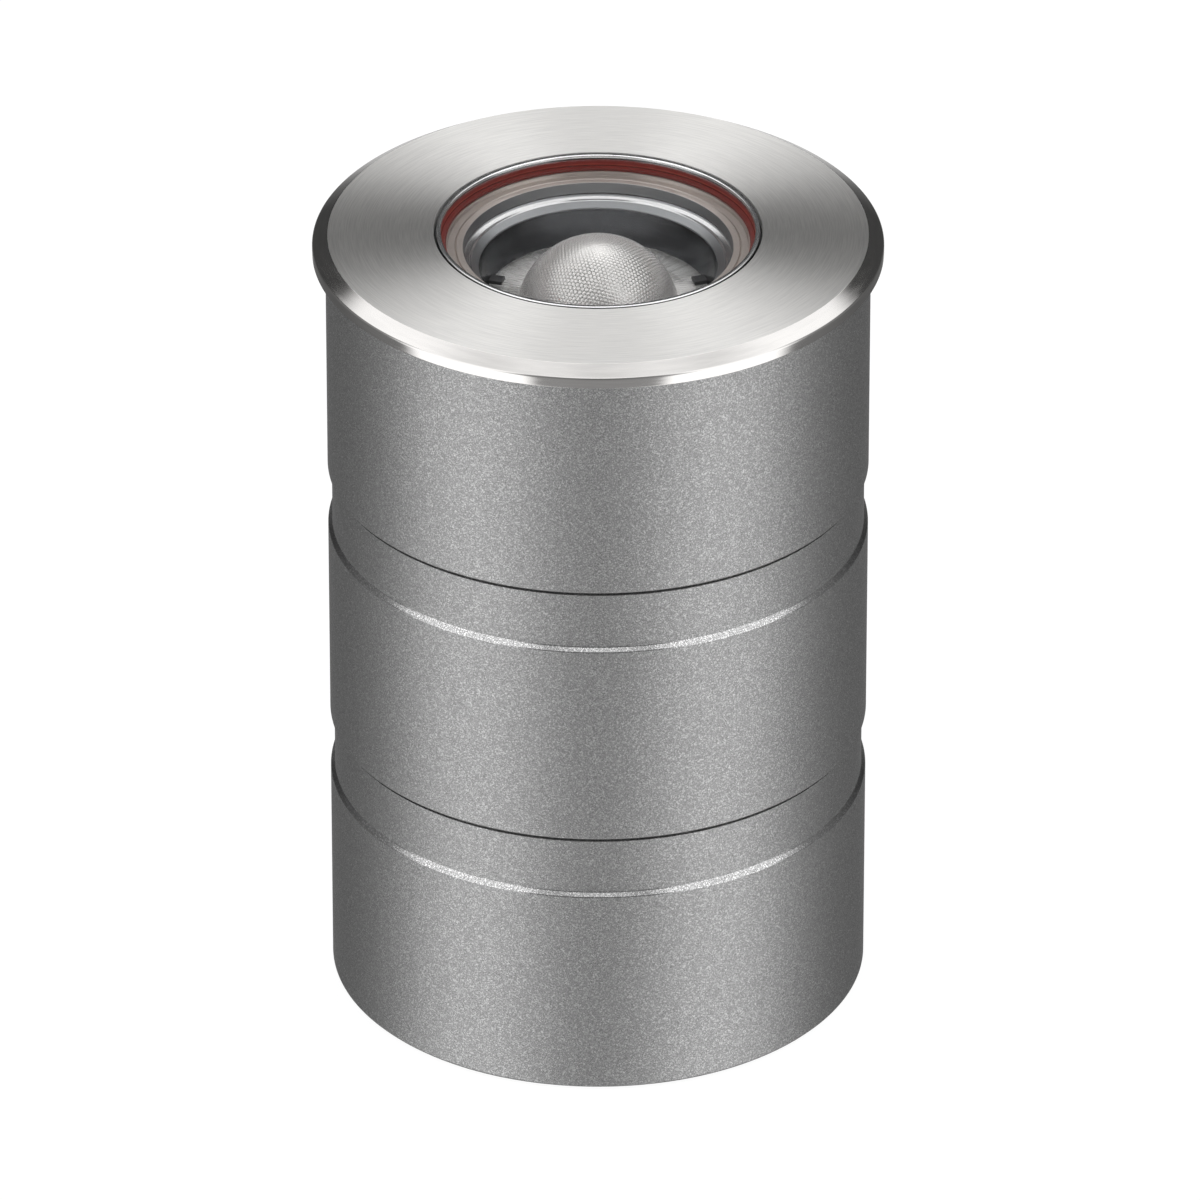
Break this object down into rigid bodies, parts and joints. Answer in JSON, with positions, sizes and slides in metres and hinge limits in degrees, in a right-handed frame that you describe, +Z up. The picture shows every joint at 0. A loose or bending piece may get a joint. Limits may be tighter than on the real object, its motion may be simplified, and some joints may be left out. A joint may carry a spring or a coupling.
{
  "type": "in ground well light",
  "caption": "Cylindrical in-ground uplight: three stacked aluminium sections, a bevelled brushed trim ring and a recessed dome lens behind sealed glass.",
  "frame": {"origin": "centre of the foot of the lower section, on the surface that it stands on", "axes": "+Z up along the barrel, the way the light shines; -Y towards the picture's viewer; the vent plug is on the +X side"},
  "size_m": [0.1, 0.1, 0.147],
  "materials": {
    "blasted_aluminium": "grain blasted and hard anodised, matt grey",
    "brushed_stainless": "circular brushed face, polished bevel",
    "bright_aluminium": "turned and polished",
    "satin_aluminium": "fine turned, warm grey",
    "black_anodised": "black anodised, glossy",
    "window_glass": "clear tempered float glass",
    "lens_acrylic": "clear moulded acrylic with honeycomb facets",
    "red_silicone": "matt red silicone",
    "black_rubber": "matt",
    "thermal_silicone": "soft grey gap pad",
    "black_nylon": "moulded, fine texture",
    "grey_nylon": "moulded",
    "zinc_steel": "bright zinc plated",
    "nickel_brass": "nickel plated, satin",
    "circuit_board": "green solder mask",
    "white_board": "white solder mask on metal core",
    "phosphor": "yellow phosphor under clear silicone",
    "ferrite": "sintered ferrite with taped winding",
    "enamelled_copper": "enamelled wire winding",
    "capacitor_sleeve": "shrink sleeve",
    "lead_silicone": "silicone insulated"
  },
  "bodies": {
    "lower": {"lower_section": "blasted_aluminium", "base_plate": "blasted_aluminium", "base_gasket": "black_rubber", "base_screws": "zinc_steel", "gland_body": "nickel_brass", "gland_locknut": "nickel_brass", "gland_seal": "black_rubber", "vent_plug": "black_nylon", "earth_screw": "zinc_steel", "terminal_block": "grey_nylon", "terminal_screws": "zinc_steel", "supply_leads": "lead_silicone", "junction_socket": "black_nylon", "lower_joint_ring": "red_silicone"},
    "gland_cap": {"gland_nut": "nickel_brass"},
    "middle": {"middle_section": "blasted_aluminium", "junction_screws": "zinc_steel", "junction_plug": "black_nylon", "driver_tray": "black_nylon", "driver_screws": "zinc_steel", "driver_board": "circuit_board", "driver_transformer": "ferrite", "driver_choke": "enamelled_copper", "driver_capacitors": "capacitor_sleeve", "driver_leads": "lead_silicone", "driver_socket": "black_nylon", "upper_joint_ring": "red_silicone"},
    "head": {"upper_section": "blasted_aluminium", "head_screws": "zinc_steel", "head_plug": "black_nylon", "heat_spreader": "bright_aluminium", "spreader_screws": "zinc_steel", "thermal_pad": "thermal_silicone", "led_board": "white_board", "led_screws": "zinc_steel", "led_chip": "phosphor", "led_leads": "lead_silicone", "lens_holder": "black_nylon", "dome_lens": "lens_acrylic", "baffle_cone": "black_anodised", "baffle_lip": "bright_aluminium", "glass_seat": "satin_aluminium", "seat_ring": "black_rubber", "glass_seal": "red_silicone", "cover_glass": "window_glass", "glass_clamp": "bright_aluminium", "clamp_screws": "zinc_steel"},
    "trim": {"trim_ring": "brushed_stainless", "trim_friction_ring": "black_rubber"}
  },
  "joints": [
    {"name": "middle_lift", "type": "slide", "parent": "lower", "child": "middle", "axis": [0, 0, 1], "range_m": [0, 0.014]},
    {"name": "head_lift", "type": "slide", "parent": "middle", "child": "head", "axis": [0, 0, 1], "range_m": [0, 0.014]},
    {"name": "trim_lift", "type": "slide", "parent": "head", "child": "trim", "axis": [0, 0, 1], "range_m": [0, 0.008]},
    {"name": "gland_turn", "type": "hinge", "parent": "lower", "child": "gland_cap", "pos_m": [0, 0, 0.01], "axis": [0, 0, -1], "range_deg": [0, 720]}
  ]
}
